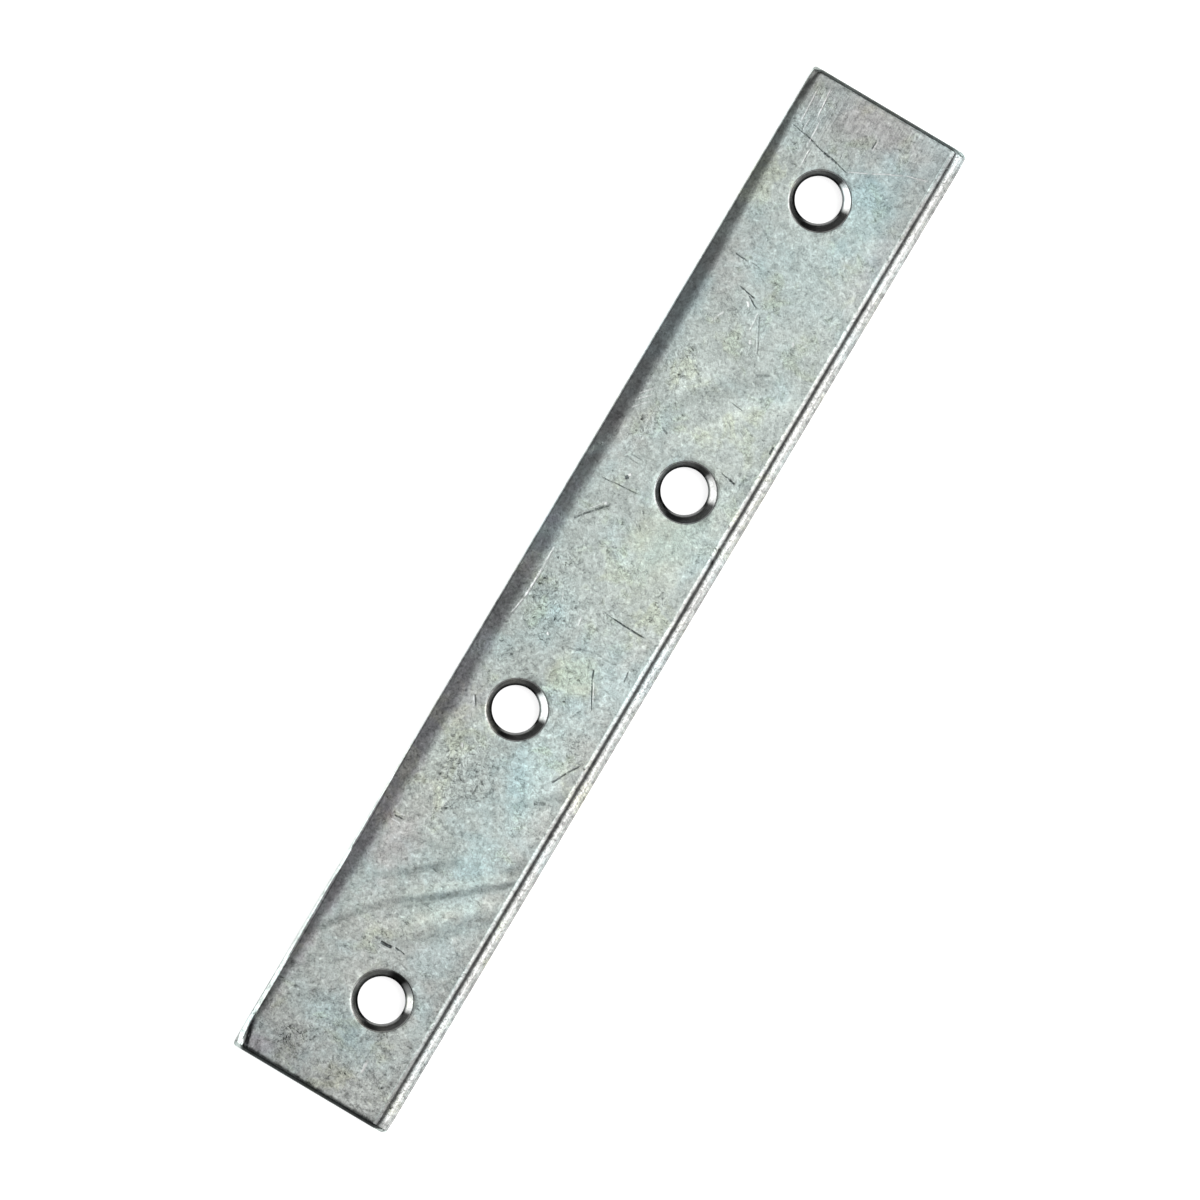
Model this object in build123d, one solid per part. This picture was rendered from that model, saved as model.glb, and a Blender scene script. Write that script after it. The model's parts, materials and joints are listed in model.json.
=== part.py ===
from build123d import *
from math import radians, tan
import os

# Flat mending plate: one piece of zinc-plated steel strip with four countersunk
# screw holes in a zigzag row, for joining two pieces of wood face to face.
#
# Frame: the back lies on Z = 0, the countersunk face looks up at +Z, the length
# runs along Y, and the origin is the middle of the back.

# Strip (mm)
plate_length = 101.6        # 4 in
plate_width = 15.875        # 5/8 in
plate_thickness = 2.0
end_break = 0.35            # softened arris all round each sheared end

# Right long edge (mm): well rounded, front and back alike
right_reach = 1.5           # how far the rounding comes in over the face
right_drop = 0.85           # how far it falls before the straight side

# Left long edge (mm): sheared, with a wide and shallow roll-over on the front
left_reach = 1.8
left_drop = 0.18
left_corner = 0.4           # radius where the roll-over and the back meet the side

# Screw holes (mm, degrees)
hole_diameter = 4.25
end_margin = 10.16          # end of the plate to the centre of its outer hole
middle_gap = 24.4           # between the two inner holes, along the plate
stagger = 1.5               # holes sit to the left and right of the centreline by this

# Countersinks (mm, degrees)
sink_width = 0.68           # width of the cone, seen from above
sink_angle = 100            # included angle of the cone, wide and shallow as pressed
rim_radius = 0.2            # rolled lip where the cone meets the face
back_break = 0.15           # broken edge of the hole on the back

# Worked out from the sizes above
sink_depth = sink_width / tan(radians(sink_angle / 2))
outer_row = plate_length / 2 - end_margin
inner_row = middle_gap / 2

# Left, right, left, right, from the top of the plate (+Y) to the bottom
hole_centres = [
    (-stagger, outer_row),
    (stagger, inner_row),
    (-stagger, -inner_row),
    (stagger, -outer_row),
]


def strip_section():
    """Section of the strip: flat back and front, round right edge, sheared left edge."""
    side = plate_width / 2
    top = plate_thickness
    right_flat = side - right_reach
    left_flat = left_reach - side

    section = make_face([
        Line((-side, 0), (right_flat, 0)),
        TangentArc((right_flat, 0), (side, right_drop), tangent=(1, 0)),
        Line((side, right_drop), (side, top - right_drop)),
        TangentArc((right_flat, top), (side, top - right_drop), tangent=(1, 0)),
        Line((right_flat, top), (left_flat, top)),
        TangentArc((left_flat, top), (-side, top - left_drop), tangent=(-1, 0)),
        Line((-side, top - left_drop), (-side, 0)),
    ])
    return fillet(section.vertices().group_by(Axis.X)[0], left_corner)


def blank():
    """Length of strip, sheared square, with the arris of each end softened."""
    top_end = Plane.XZ.offset(-plate_length / 2)
    bar = extrude(top_end * strip_section(), plate_length)
    ends = bar.faces().filter_by(Axis.Y)
    return fillet(ends.edges(), end_break)


def punch():
    """Tool that opens one hole: a straight bore, and a cone that runs on above the front face."""
    radius = hole_diameter / 2
    bore = Cylinder(radius, 3 * plate_thickness)
    cone = Cone(radius, radius + 2 * sink_width, 2 * sink_depth)
    return bore + Pos(0, 0, plate_thickness) * cone


def hole_rings(plate):
    """Circular edges of the holes, in groups from the back of the plate to the front."""
    return plate.edges().filter_by(GeomType.CIRCLE).group_by(Axis.Z)


def mending_plate():
    plate = blank() - [Pos(x, y, 0) * punch() for x, y in hole_centres]
    plate = fillet(hole_rings(plate)[-1], rim_radius)
    return chamfer(hole_rings(plate)[0], back_break)


os.makedirs("parts", exist_ok=True)
export_step(mending_plate(), "parts/plate.step")
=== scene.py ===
import bpy
import json
from math import cos, pi, radians, sin, sqrt, tan
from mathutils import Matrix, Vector


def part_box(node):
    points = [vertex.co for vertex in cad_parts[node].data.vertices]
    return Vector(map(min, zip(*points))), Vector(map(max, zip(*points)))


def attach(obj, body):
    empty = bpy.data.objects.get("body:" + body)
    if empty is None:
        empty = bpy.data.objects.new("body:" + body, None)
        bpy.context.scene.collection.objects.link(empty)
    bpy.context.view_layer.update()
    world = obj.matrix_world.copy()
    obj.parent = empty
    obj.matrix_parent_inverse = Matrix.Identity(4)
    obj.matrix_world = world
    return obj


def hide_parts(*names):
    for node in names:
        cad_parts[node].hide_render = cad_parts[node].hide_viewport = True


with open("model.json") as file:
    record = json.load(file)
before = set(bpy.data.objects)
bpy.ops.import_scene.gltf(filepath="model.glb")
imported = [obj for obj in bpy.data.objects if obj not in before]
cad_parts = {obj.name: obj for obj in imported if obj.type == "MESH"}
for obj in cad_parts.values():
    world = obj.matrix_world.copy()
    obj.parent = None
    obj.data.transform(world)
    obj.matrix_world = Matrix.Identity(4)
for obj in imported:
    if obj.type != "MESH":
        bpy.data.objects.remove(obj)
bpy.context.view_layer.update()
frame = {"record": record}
mm = 0.001
screwHoles = [m for m in frame["record"]["mounts"] if m["kind"] == "bore"]

# a zinc-plated mending plate lying on its back, countersinks up


def clearSelection():
    if bpy.context.object and bpy.context.object.mode != "OBJECT":
        bpy.ops.object.mode_set(mode="OBJECT")
    bpy.ops.object.select_all(action="DESELECT")


def takeOnly(piece):
    clearSelection()
    bpy.context.view_layer.objects.active = piece
    piece.select_set(True)


def editOnly(piece):
    takeOnly(piece)
    bpy.ops.object.mode_set(mode="EDIT")
    bpy.ops.mesh.select_all(action="DESELECT")


def pickEdges(piece, wanted):
    # selects the edges whose two ends pass the test
    bpy.ops.mesh.select_mode(type="EDGE")
    bpy.ops.mesh.select_all(action="DESELECT")
    bpy.ops.object.mode_set(mode="OBJECT")
    points = piece.data.vertices
    for edge in piece.data.edges:
        a, b = (points[i].co for i in edge.vertices)
        edge.select = wanted(a, b)
    bpy.ops.object.mode_set(mode="EDIT")


def pickFaces(piece, wanted):
    # selects the faces whose middle and normal pass the test
    bpy.ops.mesh.select_mode(type="FACE")
    bpy.ops.mesh.select_all(action="DESELECT")
    bpy.ops.object.mode_set(mode="OBJECT")
    for face in piece.data.polygons:
        face.select = wanted(face.center, face.normal)
    bpy.ops.object.mode_set(mode="EDIT")


def applyAll(piece):
    takeOnly(piece)
    for modifier in list(piece.modifiers):
        bpy.ops.object.modifier_apply(modifier=modifier.name)


def press(piece, name, amount, share, way="Z"):
    # moves points by the amount, times a share worked out from where each one is
    group = piece.vertex_groups.new(name=name)
    for point in piece.data.vertices:
        part = share(point.co)
        if part > 0:
            group.add([point.index], part, "REPLACE")
    push = piece.modifiers.new(name, "DISPLACE")
    push.direction = way
    push.mid_level = 0
    push.strength = amount
    push.vertex_group = name
    applyAll(piece)
    piece.vertex_groups.clear()


def readOff(table, x):
    # straight lines through a list of pairs
    for (x0, y0), (x1, y1) in zip(table, table[1:]):
        if x <= x1:
            return y0 + (y1 - y0) * min(max((x - x0) / (x1 - x0), 0), 1)
    return table[-1][1]


strip = {
    "corner": 0.15 * mm,      # arris of the sheared left edge
    "endReach": 0.38 * mm,    # shear roll-over at the ends, along the plate
    "endDrop": 0.28 * mm,     # and down from the face
    "endSteps": 5,
    "cell": 0.6 * mm,         # mesh spacing on the flat faces
    "leftCells": 16,
    "rightCells": 11,
    "rimCells": 7,            # the outermost 0.4 mm of the right edge turns down fastest
}


def makeStrip():
    low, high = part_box("plate")
    size, middle = high - low, (low + high) / 2
    body = size.y - 2 * strip["endReach"]
    clearSelection()
    bpy.ops.mesh.primitive_cube_add(size=1, location=middle, scale=(size.x, body, size.z))
    piece = bpy.context.object
    piece.name = "platedStrip"
    bpy.ops.object.transform_apply(location=True, rotation=True, scale=True)
    editOnly(piece)
    pickEdges(piece, lambda a, b: abs(a.y - b.y) > body / 2 and a.x < 0 and b.x < 0)
    bpy.ops.mesh.bevel(offset=strip["corner"], segments=4, profile=0.5)

    # shear roll-over: each end grows in small steps that shrink towards the back
    for way in (-1, 1):
        pickFaces(piece, lambda at, normal: normal.y * way > 0.9)
        foot = (middle.x, middle.y, low.z)
        wide, tall = size.x / 2, size.z
        y = 0
        for step in range(strip["endSteps"]):
            turn = (step + 1) / strip["endSteps"] * pi / 2
            reach = strip["endReach"] * sin(turn)
            drop = strip["endDrop"] * (1 - cos(turn))
            bpy.ops.mesh.extrude_region_move(
                TRANSFORM_OT_translate={"value": (0, way * (reach - y), 0)})
            newWide, newTall = size.x / 2 - drop, size.z - drop
            bpy.ops.transform.resize(value=(newWide / wide, 1, newTall / tall), center_override=foot)
            wide, tall, y = newWide, newTall, reach

    # cuts along the plate where the edges start to fall away
    cuts = (low.x + edges["leftReach"], high.x - edges["rightReach"], high.x - edges["rightRim"])
    for x in cuts:
        bpy.ops.mesh.select_all(action="SELECT")
        bpy.ops.mesh.bisect(plane_co=(x, 0, 0), plane_no=(1, 0, 0))
    spans = ((low.x + strip["corner"], cuts[0], strip["leftCells"]),
             (cuts[0], cuts[1], round((cuts[1] - cuts[0]) / strip["cell"])),
             (cuts[1], cuts[2], strip["rightCells"]), (cuts[2], high.x, strip["rimCells"]))
    pickEdges(piece, lambda a, b: abs(a.y - b.y) > body / 2)
    bpy.ops.mesh.subdivide(number_cuts=round(body / strip["cell"]) - 1)
    for start, stop, cells in spans:
        def across(a, b):
            return abs(a.x - b.x) > (stop - start) * 0.35 and start < (a.x + b.x) / 2 < stop
        pickEdges(piece, across)
        bpy.ops.mesh.subdivide(number_cuts=cells - 1)
    bpy.ops.object.mode_set(mode="OBJECT")
    print("strip:", len(piece.data.polygons), "faces")
    return piece


edges = {
    "rightReach": 1.5 * mm,     # well rounded, front and back
    "rightDrop": 0.85 * mm,
    "rightRim": 0.4 * mm,
    "leftReach": 2.1 * mm,      # widest that the roll-over on the left gets
    # along the plate (mm): how wide the roll-over is, and how steep
    "leftWidth": [(-50.8, 1.05), (-46, 1.15), (-37, 1.4), (-30, 1.85), (-15, 2.0), (0, 2.05), (15, 1.8),
                  (28, 1.8), (39, 1.35), (44, 1.1), (47, 0.8), (50.8, 1.05)],
    "leftSlope": [(-50.8, 9), (-40, 8), (-25, 7.5), (5, 8), (14, 10.5), (22, 11), (30, 9.5), (45, 10.5),
                  (50.8, 12)],
    "leftRim": [(-48, 0.42), (-38, 0.34), (-28, 0.22), (-15, 0)],   # steeper lip towards the bottom
    "deepest": 1.6 * mm,            # left side falls no further, even at the tip of the nick
    "nick": (1.0 * mm, 2.3 * mm),   # bottom left corner is sheared off at a slant: across, along
    "nickSlope": 1.25,
    "dent": (0.9 * mm, 0.8 * mm),   # top left corner is knocked down a little: across, along
    "dentSlope": 0.5,
    "corner": 0.7 * mm,             # right corners are rounded, seen from above
}


def shapeEdges(piece):
    low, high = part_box("plate")
    middle = (low.z + high.z) / 2
    reach, drop = edges["rightReach"], edges["rightDrop"]
    bend = (reach ** 2 + drop ** 2) / (2 * drop)
    start = high.x - reach

    def rounding(at):
        over = min(max(at.x - start, 0), reach)
        return (bend - sqrt(bend ** 2 - over ** 2)) / drop

    press(piece, "rightFront", -drop, lambda at: rounding(at) if at.z > middle else 0)
    press(piece, "rightBack", drop, lambda at: rounding(at) if at.z < middle else 0)

    deepest = edges["deepest"]

    def fall(at):
        if at.z < middle:
            return 0
        inward, along = at.x - low.x, at.y / mm
        width = readOff(edges["leftWidth"], along) * mm
        slope = tan(radians(readOff(edges["leftSlope"], along)))
        flat, full = max(width - inward, 0), 0.45 * width
        depth = slope * (flat ** 2 / (2 * full) if flat < full else flat - full / 2)
        depth += max(readOff(edges["leftRim"], along) * mm - inward, 0)
        across, far = edges["nick"]
        depth += max(across - inward - (at.y - low.y) * across / far, 0) * edges["nickSlope"]
        across, far = edges["dent"]
        depth += max(across - inward - (high.y - at.y) * across / far, 0) * edges["dentSlope"]
        return min(depth / deepest, 1)

    press(piece, "leftFront", -deepest, fall)

    corner = edges["corner"]
    most = corner - strip["endDrop"]

    def tuck(at):
        past = min(max(abs(at.y) - (high.y - corner), 0), corner)
        inward = (corner - sqrt(corner ** 2 - past ** 2)) / corner
        return inward * min(max((at.x - high.x + 2 * corner) / corner, 0), 1)

    press(piece, "rightCorners", -most, tuck, "X")
    print("edges: shaped")


hole = {
    "sides": 96,
    "sinkWidth": 0.68 * mm,     # cone, seen from above
    "sinkAngle": radians(100),
    "rimRadius": 0.2 * mm,      # rolled lip
    "rimSteps": 6,
    "backBreak": 0.15 * mm,
    "spare": 0.5 * mm,          # cutter stands this far past both faces
    "lift": 0.002 * mm,         # lip meets the face a hair above it
    "collar": 0.35 * mm,        # finish of the cone reaches this far past it, over the lip
    "highlightWay": (0.6, -0.8, 0),   # side of each bore painted paler, a painted highlight, and made rougher
    "shadeWay": (0.34, 0.94, 0),    # and the side of some sinks darkened as painted shade
    # for each hole, top of the plate first: how far that side of its sink is darkened, as painted shade
    "shadedSide": [0.0, 0.25, 0.0, 0.9],
    # the punch sank each cone a little off its hole
    "shift": [(0.17 * mm, -0.04 * mm), (0.19 * mm, -0.05 * mm), (0.15 * mm, 0.01 * mm), (0.07 * mm, 0)],
}


def boreProfile(radius, top):
    # radius and height, from under the back to above the face
    back = radius + hole["backBreak"]
    return [(back, -hole["spare"]), (back, -hole["lift"]), (radius, hole["backBreak"]),
            (radius, top + hole["spare"])]


def sinkProfile(radius, top):
    half = hole["sinkAngle"] / 2
    slope = pi / 2 - half       # of the cone, from level
    depth = hole["sinkWidth"] / tan(half)
    under = 0.35 * mm           # point of the cone runs on below the hole's rim
    mouth = radius + hole["sinkWidth"] + hole["rimRadius"] * tan(slope / 2)
    rings = [(radius - under * tan(half), top - depth - under)]
    for step in range(hole["rimSteps"] + 1):
        lean = slope * (1 - step / hole["rimSteps"])
        out = mouth - hole["rimRadius"] * sin(lean)
        down = hole["rimRadius"] * (1 - cos(lean))
        rings.append((out, top - down + hole["lift"]))
    rings.append((mouth, top + hole["spare"]))
    return rings


def makeCutter(x, y, rings):
    clearSelection()
    radius, z = rings[0]
    bpy.ops.mesh.primitive_circle_add(
        vertices=hole["sides"], radius=radius, fill_type="NGON", location=(x, y, z))
    cutter = bpy.context.object
    bpy.ops.object.transform_apply(location=True, rotation=True, scale=True)
    bpy.ops.object.mode_set(mode="EDIT")
    bpy.ops.mesh.select_all(action="SELECT")
    for nextRadius, nextZ in rings[1:]:
        bpy.ops.mesh.extrude_region_move(TRANSFORM_OT_translate={"value": (0, 0, nextZ - z)})
        grow = nextRadius / radius
        bpy.ops.transform.resize(value=(grow, grow, 1), center_override=(x, y, nextZ))
        radius, z = nextRadius, nextZ
    bpy.ops.mesh.select_all(action="SELECT")
    bpy.ops.mesh.normals_make_consistent(inside=False)
    bpy.ops.object.mode_set(mode="OBJECT")
    return cutter


def cutWith(piece, cutters):
    clearSelection()
    for cutter in cutters:
        cutter.select_set(True)
    bpy.context.view_layer.objects.active = cutters[0]
    bpy.ops.object.join()
    punch = bpy.context.object
    cut = piece.modifiers.new("punch", "BOOLEAN")
    cut.operation = "DIFFERENCE"
    cut.solver = "EXACT"
    cut.object = punch
    applyAll(piece)
    bpy.data.objects.remove(punch)


def punchHoles(piece):
    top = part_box("plate")[1].z
    bores, sinks = [], []
    for mount, (aside, along) in zip(screwHoles, hole["shift"]):
        x, y = mount["pos_m"][:2]
        radius = mount["dims"]["r_mm"] * mm
        bores.append(makeCutter(x, y, boreProfile(radius, top)))
        sinks.append(makeCutter(x + aside, y + along, sinkProfile(radius, top)))
    cutWith(piece, bores)
    cutWith(piece, sinks)
    print("holes:", len(screwHoles), "and", len(piece.data.polygons), "faces")


wave = {
    "size": 7 * mm,             # gentle unevenness of the pressed strip
    "height": 0.03 * mm,
    "crown": 0.07 * mm,         # face stands this much higher along its middle than at its sides
}


def unevenFace(piece):
    # slightly crowned and softly uneven, like any pressed strip
    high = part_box("plate")[1]
    front = 0.7 * high.z        # what is above this belongs to the front
    press(piece, "crown", -wave["crown"], lambda at: (at.x / high.x) ** 2 if at.z > front else 0)
    cloud = bpy.data.textures.new("uneven", "CLOUDS")
    cloud.noise_scale = wave["size"]
    cloud.noise_depth = 1
    group = piece.vertex_groups.new(name="front")
    group.add([p.index for p in piece.data.vertices if p.co.z > front], 1, "REPLACE")
    push = piece.modifiers.new("uneven", "DISPLACE")
    push.texture = cloud
    push.texture_coords = "LOCAL"
    push.direction = "Z"
    push.mid_level = 1
    push.strength = wave["height"]
    push.vertex_group = "front"
    applyAll(piece)
    piece.vertex_groups.clear()


def smoothOver(piece):
    takeOnly(piece)
    bpy.ops.object.shade_smooth_by_angle(angle=radians(32))
    even = piece.modifiers.new("even", "WEIGHTED_NORMAL")
    even.keep_sharp = True
    even.weight = 100
    applyAll(piece)


# short ways of writing shader nodes

def put(tree, kind, **settings):
    node = tree.nodes.new("ShaderNode" + kind)
    for name, value in settings.items():
        setattr(node, name, value)
    return node


def feed(tree, socket, value):
    # a link if the value is another node's output, else the plain value
    if isinstance(value, bpy.types.NodeSocket):
        tree.links.new(value, socket)
    else:
        socket.default_value = value


def calc(tree, operation, *values):
    node = put(tree, "Math", operation=operation)
    for socket, value in zip(node.inputs, values):
        feed(tree, socket, value)
    return node.outputs[0]


def calcVector(tree, operation, *values):
    node = put(tree, "VectorMath", operation=operation)
    sockets = [s for s in node.inputs if s.type == "VECTOR"] if operation != "SCALE" else [
        node.inputs[0], node.inputs["Scale"]]
    for socket, value in zip(sockets, values):
        feed(tree, socket, value)
    number = operation in ("LENGTH", "DOT_PRODUCT", "DISTANCE")
    return node.outputs["Value" if number else "Vector"]


def ramp(tree, value, fromLow, fromHigh, toLow=0.0, toHigh=1.0, kind="SMOOTHSTEP"):
    node = put(tree, "MapRange", interpolation_type=kind, clamp=kind == "LINEAR")
    for name, amount in (("Value", value), ("From Min", fromLow), ("From Max", fromHigh),
                         ("To Min", toLow), ("To Max", toHigh)):
        feed(tree, node.inputs[name], amount)
    return node.outputs[0]


def blend(tree, amount, first, second, mode="MIX"):
    node = put(tree, "Mix", data_type="RGBA", blend_type=mode)
    colours = [s for s in node.inputs if s.type == "RGBA"]
    feed(tree, node.inputs[0], amount)
    feed(tree, colours[0], first)
    feed(tree, colours[1], second)
    return [s for s in node.outputs if s.type == "RGBA"][0]


def split(tree, vector):
    node = put(tree, "SeparateXYZ")
    feed(tree, node.inputs[0], vector)
    return node.outputs


def greyOf(tree, tone):
    node = put(tree, "CombineColor")
    for socket in node.inputs:
        feed(tree, socket, tone)
    return node.outputs[0]


def grain(tree, vector, size, detail=2.0, rough=0.55, twist=0.0):
    # noise whose blobs are about the given size
    node = put(tree, "TexNoise")
    feed(tree, node.inputs["Vector"], vector)
    node.inputs["Scale"].default_value = 1 / size
    node.inputs["Detail"].default_value = detail
    node.inputs["Roughness"].default_value = rough
    node.inputs["Distortion"].default_value = twist
    return node.outputs["Fac"]


def relief(tree, height):
    bump = put(tree, "Bump")
    bump.inputs["Strength"].default_value = 1
    bump.inputs["Distance"].default_value = 1
    feed(tree, bump.inputs["Height"], height)
    return bump.outputs[0]


def newSkin(name):
    material = bpy.data.materials.new(name)
    material.use_nodes = True
    tree = material.node_tree
    tree.nodes.clear()
    out = put(tree, "OutputMaterial")
    skin = put(tree, "BsdfPrincipled")
    skin.inputs["Metallic"].default_value = 1
    tree.links.new(skin.outputs[0], out.inputs[0])
    return tree, skin


def newGroup(name, inputs, outputs):
    tree = bpy.data.node_groups.new(name, "ShaderNodeTree")
    for label, kind in inputs.items():
        tree.interface.new_socket(label, in_out="INPUT", socket_type="NodeSocket" + kind)
    for label, kind in outputs.items():
        tree.interface.new_socket(label, in_out="OUTPUT", socket_type="NodeSocket" + kind)
    return tree, tree.nodes.new("NodeGroupInput").outputs, tree.nodes.new("NodeGroupOutput").inputs


def useGroup(tree, group, **values):
    node = put(tree, "Group", node_tree=group)
    for name, value in values.items():
        feed(tree, node.inputs[name], value)
    return node.outputs


# effects that more than one finish uses

def makeHairline():
    # a thin or soft line between two points, with its strength at each; Taper fades its tips out
    tree, given, result = newGroup(
        "hairline",
        {"Place": "Vector", "Start": "Vector", "End": "Vector", "Width": "Float", "Wander": "Float",
         "First": "Float", "Last": "Float", "Taper": "Float"},
        {"Mask": "Float"})
    drift = put(tree, "TexNoise")
    feed(tree, drift.inputs["Vector"], given["Place"])
    drift.inputs["Scale"].default_value = 1 / (1.2 * mm)
    drift.inputs["Detail"].default_value = 1
    push = calcVector(tree, "SUBTRACT", drift.outputs["Color"], (0.5, 0.5, 0.5))
    push = calcVector(tree, "SCALE", push, given["Wander"])
    place = calcVector(tree, "ADD", given["Place"], push)
    run = calcVector(tree, "SUBTRACT", given["End"], given["Start"])
    reach = calcVector(tree, "SUBTRACT", place, given["Start"])
    flat = (1, 1, 0)
    reach = calcVector(tree, "MULTIPLY", reach, flat)
    share = calc(tree, "DIVIDE", calcVector(tree, "DOT_PRODUCT", reach, run),
                 calcVector(tree, "DOT_PRODUCT", run, run))
    share = calc(tree, "MINIMUM", calc(tree, "MAXIMUM", share, 0.0), 1.0)
    nearest = calcVector(tree, "SCALE", run, share)
    gap = calcVector(tree, "DISTANCE", reach, nearest)
    line = ramp(tree, calc(tree, "DIVIDE", gap, given["Width"]), 0.15, 1.0, 1.0, 0.0)
    lost = calc(tree, "MULTIPLY", ramp(tree, share, 0.0, 0.12), ramp(tree, share, 1.0, 0.8))
    lost = calc(tree, "MULTIPLY", given["Taper"], calc(tree, "SUBTRACT", 1.0, lost))
    rise = calc(tree, "SUBTRACT", given["Last"], given["First"])
    power = calc(tree, "MULTIPLY_ADD", rise, share, given["First"])
    power = calc(tree, "MULTIPLY", power, calc(tree, "SUBTRACT", 1.0, lost))
    feed(tree, result["Mask"], calc(tree, "MULTIPLY", line, power))
    return tree


def makeRaggedPatch():
    # soft ragged patch round a point
    tree, given, result = newGroup(
        "raggedPatch", {"Place": "Vector", "Centre": "Vector", "Reach": "Vector"}, {"Mask": "Float"})
    off = calcVector(tree, "SUBTRACT", given["Place"], given["Centre"])
    off = calcVector(tree, "DIVIDE", off, given["Reach"])
    gap = calcVector(tree, "LENGTH", calcVector(tree, "MULTIPLY", off, (1, 1, 0)))
    ragged = calc(tree, "MULTIPLY_ADD", grain(tree, given["Place"], 1.6 * mm, 4), 1.1, -0.55)
    feed(tree, result["Mask"], ramp(tree, calc(tree, "ADD", gap, ragged), 1.1, 0.2))
    return tree


coat = {
    "colour": (0.462, 0.512, 0.488, 1),
    "cool": (0.93, 1.01, 1.045, 1),       # tints of the clear passivation, as multipliers
    "straw": (1.025, 1.015, 0.92, 1),
    "flake": 0.3 * mm,                    # finest speckle
    "worm": 0.75 * mm,                    # wormy dark lines between the crystals
    "pit": 0.45 * mm,
    "mottle": 1.4 * mm,
    "cloud": 2.6 * mm,
    "drift": 9 * mm,
}


def makeCoat():
    # zinc plating: speckle, wormy lines and pits over clouds, faintly blue and straw
    tree, given, result = newGroup(
        "coat", {"Place": "Vector", "Speckle": "Float", "Pitted": "Float"},
        {"Color": "Color", "Height": "Float", "Dull": "Float"})
    flake = grain(tree, given["Place"], coat["flake"], 2, 0.6, 0.8)
    worm = grain(tree, given["Place"], coat["worm"], 3, 0.6, 1.8)
    pit = grain(tree, given["Place"], coat["pit"], 2, 0.6, 0.6)
    mottle = grain(tree, given["Place"], coat["mottle"], 2, 0.6, 1.0)
    cloud = grain(tree, given["Place"], coat["cloud"], 4, 0.6, 0.6)
    drift = grain(tree, given["Place"], coat["drift"], 3, 0.55, 0.3)
    patch = ramp(tree, calc(tree, "MULTIPLY_ADD", given["Pitted"], 0.2, cloud), 0.48, 0.72, 0.4, 1.15)
    line = ramp(tree, calc(tree, "ABSOLUTE", calc(tree, "SUBTRACT", worm, 0.5)), 0.0, 0.07, 1.0, 0.0)
    dent = ramp(tree, pit, 0.42, 0.34)
    bright = ramp(tree, pit, 0.6, 0.7)
    dark = calc(tree, "MULTIPLY", calc(tree, "ADD", calc(tree, "MULTIPLY", line, 0.42),
                                       calc(tree, "MULTIPLY", dent, 0.42)), patch)
    tone = calc(tree, "MULTIPLY_ADD", flake, 1.5, -0.75)
    tone = calc(tree, "ADD", tone, calc(tree, "MULTIPLY_ADD", mottle, 0.72, -0.3))
    tone = calc(tree, "SUBTRACT", tone, dark)
    tone = calc(tree, "ADD", tone, calc(tree, "MULTIPLY", bright, 0.28))
    tone = calc(tree, "ADD", tone, calc(tree, "MULTIPLY_ADD", cloud, 0.95, -0.475))
    tone = calc(tree, "ADD", tone, calc(tree, "MULTIPLY_ADD", drift, 0.5, -0.25))
    tone = calc(tree, "MULTIPLY_ADD", tone, given["Speckle"], 1.0)
    shade = greyOf(tree, tone)
    cool = ramp(tree, calc(tree, "ADD", drift, calc(tree, "MULTIPLY", cloud, 0.5)), 0.68, 0.95)
    straw = ramp(tree, calc(tree, "SUBTRACT", calc(tree, "MULTIPLY", cloud, 1.4), drift), 0.24, 0.5)
    colour = blend(tree, 1.0, coat["colour"], shade, "MULTIPLY")
    colour = blend(tree, cool, colour, coat["cool"], "MULTIPLY")
    colour = blend(tree, straw, colour, coat["straw"], "MULTIPLY")
    feed(tree, result["Color"], colour)
    height = calc(tree, "MULTIPLY_ADD", flake, 0.4, calc(tree, "MULTIPLY", worm, 0.8))
    feed(tree, result["Height"], calc(tree, "SUBTRACT", height, dark))
    feed(tree, result["Dull"], calc(tree, "ADD", calc(tree, "MULTIPLY", worm, 0.5), cloud))
    return tree


def makeDrawLines():
    # fine lines left by rolling and rumbling, along one direction
    tree, given, result = newGroup("drawLines", {"Place": "Vector", "Pitch": "Vector"}, {"Lines": "Float"})
    stretched = calcVector(tree, "DIVIDE", given["Place"], given["Pitch"])
    feed(tree, result["Lines"], grain(tree, stretched, 1.0, 3, 0.6, 0.1))
    return tree


hairline = makeHairline()
raggedPatch = makeRaggedPatch()
zincCoat = makeCoat()
drawLines = makeDrawLines()


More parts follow.
